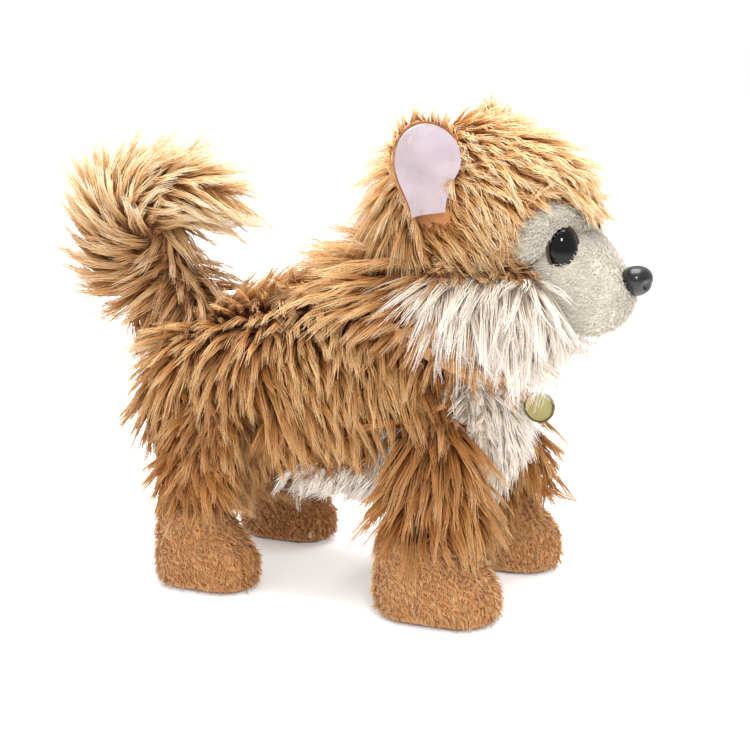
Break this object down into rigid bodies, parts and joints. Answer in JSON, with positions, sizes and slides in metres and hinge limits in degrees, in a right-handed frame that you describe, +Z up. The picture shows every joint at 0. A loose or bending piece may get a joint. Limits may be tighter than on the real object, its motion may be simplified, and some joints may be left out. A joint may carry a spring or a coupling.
{
  "type": "interactive plush pet",
  "caption": "Standing long-haired plush puppy with a curled tail, white ruff and bib, and walking, nodding and wagging joints driven by hidden works.",
  "frame": {"origin": "floor point under the centre of the object's box", "axes": "+X the way the dog faces, +Y its left side, +Z up"},
  "size_m": [0.2928, 0.1276, 0.2296],
  "materials": {
    "chassis_plastic": "fine moulded texture",
    "frame_plastic": "satin",
    "skull_plastic": "satin",
    "steel": "bright",
    "brass": "satin",
    "cell_sleeve": "printed sleeve",
    "board": "solder mask",
    "black_plastic": "satin",
    "servo_case": "gloss",
    "red_plastic": "satin",
    "tan_plush": "long pile",
    "white_plush": "long pile",
    "tan_velour": "short pile",
    "grey_velour": "short pile",
    "ear_satin": "smooth satin",
    "ribbon": "woven",
    "eye_gloss": "high gloss",
    "nose_gloss": "satin gloss",
    "tag_metal": "aged"
  },
  "bodies": {
    "chassis": {"chassis_right": "chassis_plastic", "chassis_left": "chassis_plastic", "chassis_screws": "steel", "battery_cells": "cell_sleeve", "battery_contacts": "steel", "motor": "steel", "gearbox_plate": "frame_plastic", "gear_axles": "steel", "speaker": "black_plastic", "circuit_board": "board", "switch_body": "black_plastic", "tail_servo": "servo_case", "neck_servo": "servo_case", "torso_plush": "tan_plush", "underside_plush": "white_plush", "collar": "ribbon", "collar_ring": "steel", "pat_spring": "steel"},
    "crank": {"crankshaft": "steel", "crank_discs": "frame_plastic", "drive_gear": "frame_plastic"},
    "middle_gear": {"middle_gear": "frame_plastic"},
    "first_gear": {"first_gear": "frame_plastic"},
    "motor_pinion": {"motor_pinion": "brass"},
    "power_slider": {"power_slider": "red_plastic"},
    "pat_button": {"pat_button": "frame_plastic"},
    "battery_door": {"battery_door": "chassis_plastic", "door_screw": "steel"},
    "link_right": {"link_rod_right": "frame_plastic"},
    "link_left": {"link_rod_left": "frame_plastic"},
    "tail": {"tail_arm": "frame_plastic", "tail_plush": "tan_plush"},
    "neck": {"neck_post": "frame_plastic", "nod_pin": "steel"},
    "head": {"skull_front": "skull_plastic", "skull_rear": "skull_plastic", "skull_screws": "steel", "head_plush": "tan_plush", "muzzle": "grey_velour", "cheek_ruff": "white_plush", "ear_right": "tan_plush", "ear_left": "tan_plush", "ear_lining_right": "ear_satin", "ear_lining_left": "ear_satin", "eyes": "eye_gloss", "nose": "nose_gloss"},
    "tag": {"tag": "tag_metal"},
    "leg_front_right": {"leg_core_front_right": "frame_plastic", "leg_plush_front_right": "tan_plush", "paw_front_right": "tan_velour"},
    "leg_front_left": {"leg_core_front_left": "frame_plastic", "leg_plush_front_left": "tan_plush", "paw_front_left": "tan_velour"},
    "leg_rear_right": {"leg_core_rear_right": "frame_plastic", "leg_plush_rear_right": "tan_plush", "paw_rear_right": "tan_velour"},
    "leg_rear_left": {"leg_core_rear_left": "frame_plastic", "leg_plush_rear_left": "tan_plush", "paw_rear_left": "tan_velour"}
  },
  "joints": [
    {"name": "crank_turn", "type": "hinge", "parent": "chassis", "child": "crank", "pos_m": [0, 0, 0.09], "axis": [0, 1, 0], "continuous": true},
    {"name": "middle_gear_turn", "type": "hinge", "parent": "chassis", "child": "middle_gear", "pos_m": [-0.01476, 0, 0.09], "axis": [0, 1, 0], "continuous": true},
    {"name": "first_gear_turn", "type": "hinge", "parent": "chassis", "child": "first_gear", "pos_m": [-0.02742, 0, 0.09], "axis": [0, 1, 0], "continuous": true},
    {"name": "motor_turn", "type": "hinge", "parent": "chassis", "child": "motor_pinion", "pos_m": [-0.03798, 0, 0.09], "axis": [0, 1, 0], "continuous": true},
    {"name": "head_turn", "type": "hinge", "parent": "chassis", "child": "neck", "pos_m": [0.046, 0, 0.142], "axis": [0.4493, 0, 0.8934], "range_deg": [-20, 20]},
    {"name": "head_nod", "type": "hinge", "parent": "neck", "child": "head", "pos_m": [0.046, 0, 0.142], "axis": [0, 1, 0], "range_deg": [-10, 6]},
    {"name": "tail_wag", "type": "hinge", "parent": "chassis", "child": "tail", "pos_m": [-0.08, 0, 0.108], "axis": [0, 0, 1], "range_deg": [-20, 20]},
    {"name": "switch_slide", "type": "slide", "parent": "chassis", "child": "power_slider", "axis": [1, 0, 0], "range_m": [0, 0.004]},
    {"name": "pat_press", "type": "slide", "parent": "chassis", "child": "pat_button", "axis": [0, 0, -1], "range_m": [0, 0.002], "stiffness_N_per_m": 300, "springref_m": -0.0005, "deforming": ["pat_spring"]},
    {"name": "door_open", "type": "hinge", "parent": "chassis", "child": "battery_door", "pos_m": [0.0295, 0, 0.0546], "axis": [0, -1, 0], "range_deg": [0, 55]},
    {"name": "tag_swing", "type": "hinge", "parent": "chassis", "child": "tag", "pos_m": [0.0946, 0, 0.09813], "axis": [0, 1, 0], "range_deg": [-40, 6]},
    {"name": "leg_swing_front_right", "type": "hinge", "parent": "chassis", "child": "leg_front_right", "pos_m": [0.058, 0, 0.078], "axis": [0, 1, 0], "range_deg": [-10, 10]},
    {"name": "leg_swing_front_left", "type": "hinge", "parent": "chassis", "child": "leg_front_left", "pos_m": [0.058, 0, 0.078], "axis": [0, 1, 0], "range_deg": [-10, 10]},
    {"name": "leg_swing_rear_right", "type": "hinge", "parent": "chassis", "child": "leg_rear_right", "pos_m": [-0.058, 0, 0.078], "axis": [0, 1, 0], "range_deg": [-10, 10]},
    {"name": "leg_swing_rear_left", "type": "hinge", "parent": "chassis", "child": "leg_rear_left", "pos_m": [-0.058, 0, 0.078], "axis": [0, 1, 0], "range_deg": [-10, 10]},
    {"name": "link_right_pivot", "type": "hinge", "parent": "leg_front_right", "child": "link_right", "pos_m": [0.058, 0, 0.09], "axis": [0, 1, 0], "range_deg": [-10, 10]},
    {"name": "link_left_pivot", "type": "hinge", "parent": "leg_front_left", "child": "link_left", "pos_m": [0.058, 0, 0.09], "axis": [0, 1, 0], "range_deg": [-10, 10]}
  ],
  "couplings": [
    {"joint": "middle_gear_turn", "follows": "crank_turn", "ratio": -3.2},
    {"joint": "first_gear_turn", "follows": "crank_turn", "ratio": 10.24},
    {"joint": "motor_turn", "follows": "crank_turn", "ratio": -32.768},
    {"joint": "leg_swing_rear_right", "follows": "leg_swing_front_right", "ratio": 1},
    {"joint": "leg_swing_front_left", "follows": "leg_swing_front_right", "ratio": -1},
    {"joint": "leg_swing_rear_left", "follows": "leg_swing_front_right", "ratio": -1},
    {"joint": "link_right_pivot", "follows": "leg_swing_front_right", "ratio": -1},
    {"joint": "link_left_pivot", "follows": "leg_swing_front_right", "ratio": 1}
  ]
}
